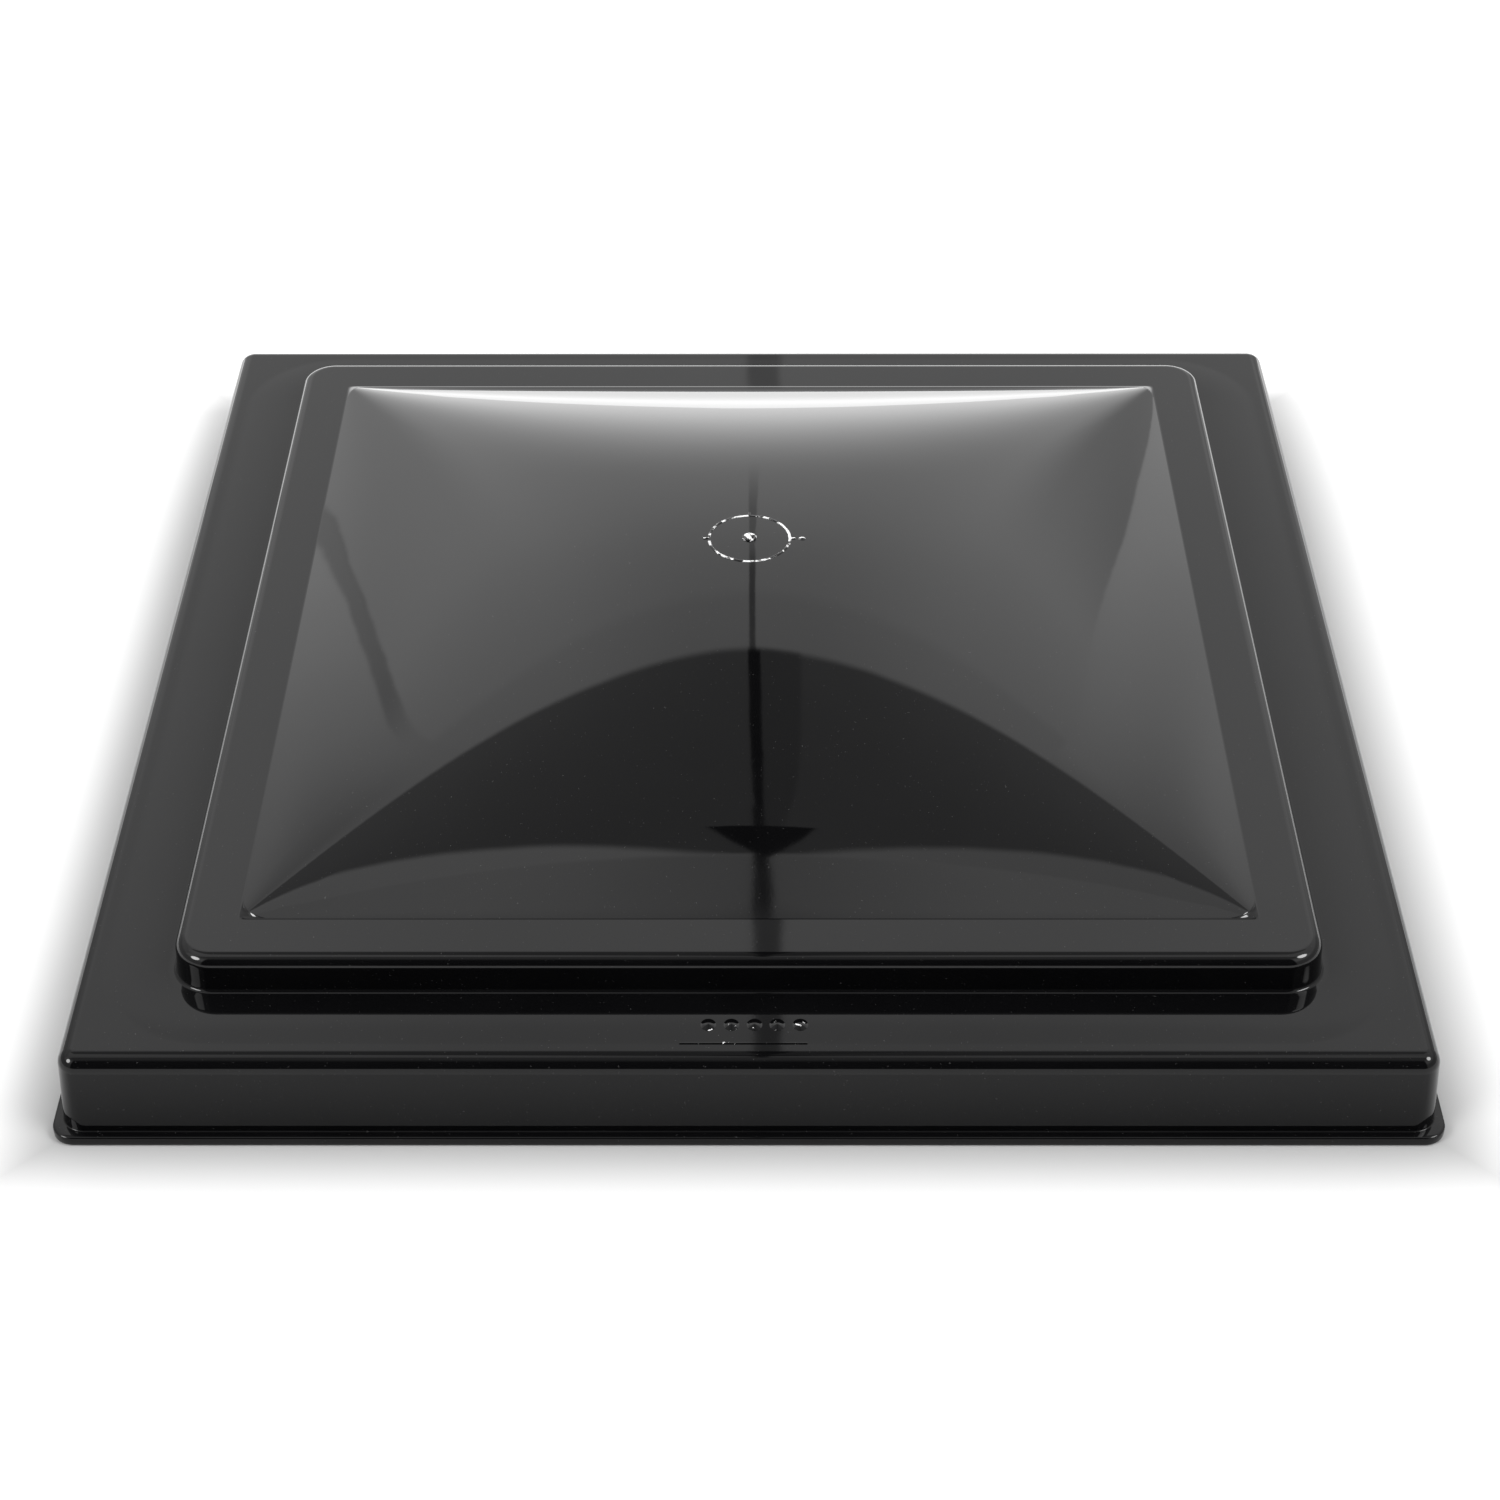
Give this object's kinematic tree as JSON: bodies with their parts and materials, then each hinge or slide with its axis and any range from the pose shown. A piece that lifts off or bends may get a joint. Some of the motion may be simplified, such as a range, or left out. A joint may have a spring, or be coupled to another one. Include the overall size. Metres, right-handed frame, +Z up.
{
  "type": "roof vent cover",
  "caption": "Square domed roof vent lid with a stepped rim and turned-out lip, foam gasket, rear hinge and an underside lift track with a sliding shoe.",
  "frame": {"origin": "centre of the rim's outline, on the plane the lip's underside rests on", "axes": "+Z up through the dome, +Y towards the hinge side, +X to the right seen from the front"},
  "size_m": [0.419, 0.419, 0.0787],
  "materials": {
    "lid_plastic": "glossy black injection-moulded polypropylene, very slightly wavy",
    "foam": "matt black closed-cell foam strip",
    "galvanised_steel": "zinc-coated sheet steel, dull spangle",
    "plain_steel": "bright zinc-plated steel",
    "aluminium": "plain satin aluminium",
    "nylon": "natural off-white nylon"
  },
  "bodies": {
    "hinge_base": {"hinge_leaf_base": "galvanised_steel", "hinge_pin": "plain_steel", "push_nut_left": "plain_steel", "push_nut_right": "plain_steel"},
    "lid": {"lid_shell": "lid_plastic", "gasket_front": "foam", "gasket_rear": "foam", "gasket_left": "foam", "gasket_right": "foam", "hinge_leaf_lid": "galvanised_steel", "lift_track": "galvanised_steel", "hinge_rivet_1": "aluminium", "hinge_rivet_2": "aluminium", "hinge_rivet_3": "aluminium", "hinge_rivet_4": "aluminium", "rivet_washer_1": "aluminium", "rivet_washer_2": "aluminium", "rivet_washer_3": "aluminium", "rivet_washer_4": "aluminium", "track_screw_1": "plain_steel", "track_screw_2": "plain_steel", "track_screw_3": "plain_steel", "track_screw_4": "plain_steel"},
    "slider": {"slider_shoe": "nylon", "lift_pin": "plain_steel", "lift_pin_clip": "plain_steel"}
  },
  "joints": [
    {"name": "lid_hinge", "type": "hinge", "parent": "hinge_base", "child": "lid", "pos_m": [0, 0.192, 0.008], "axis": [-1, 0, 0], "range_deg": [0, 60]},
    {"name": "shoe_slide", "type": "slide", "parent": "lid", "child": "slider", "axis": [0, 1, 0], "range_m": [-0.047, 0.047]}
  ]
}
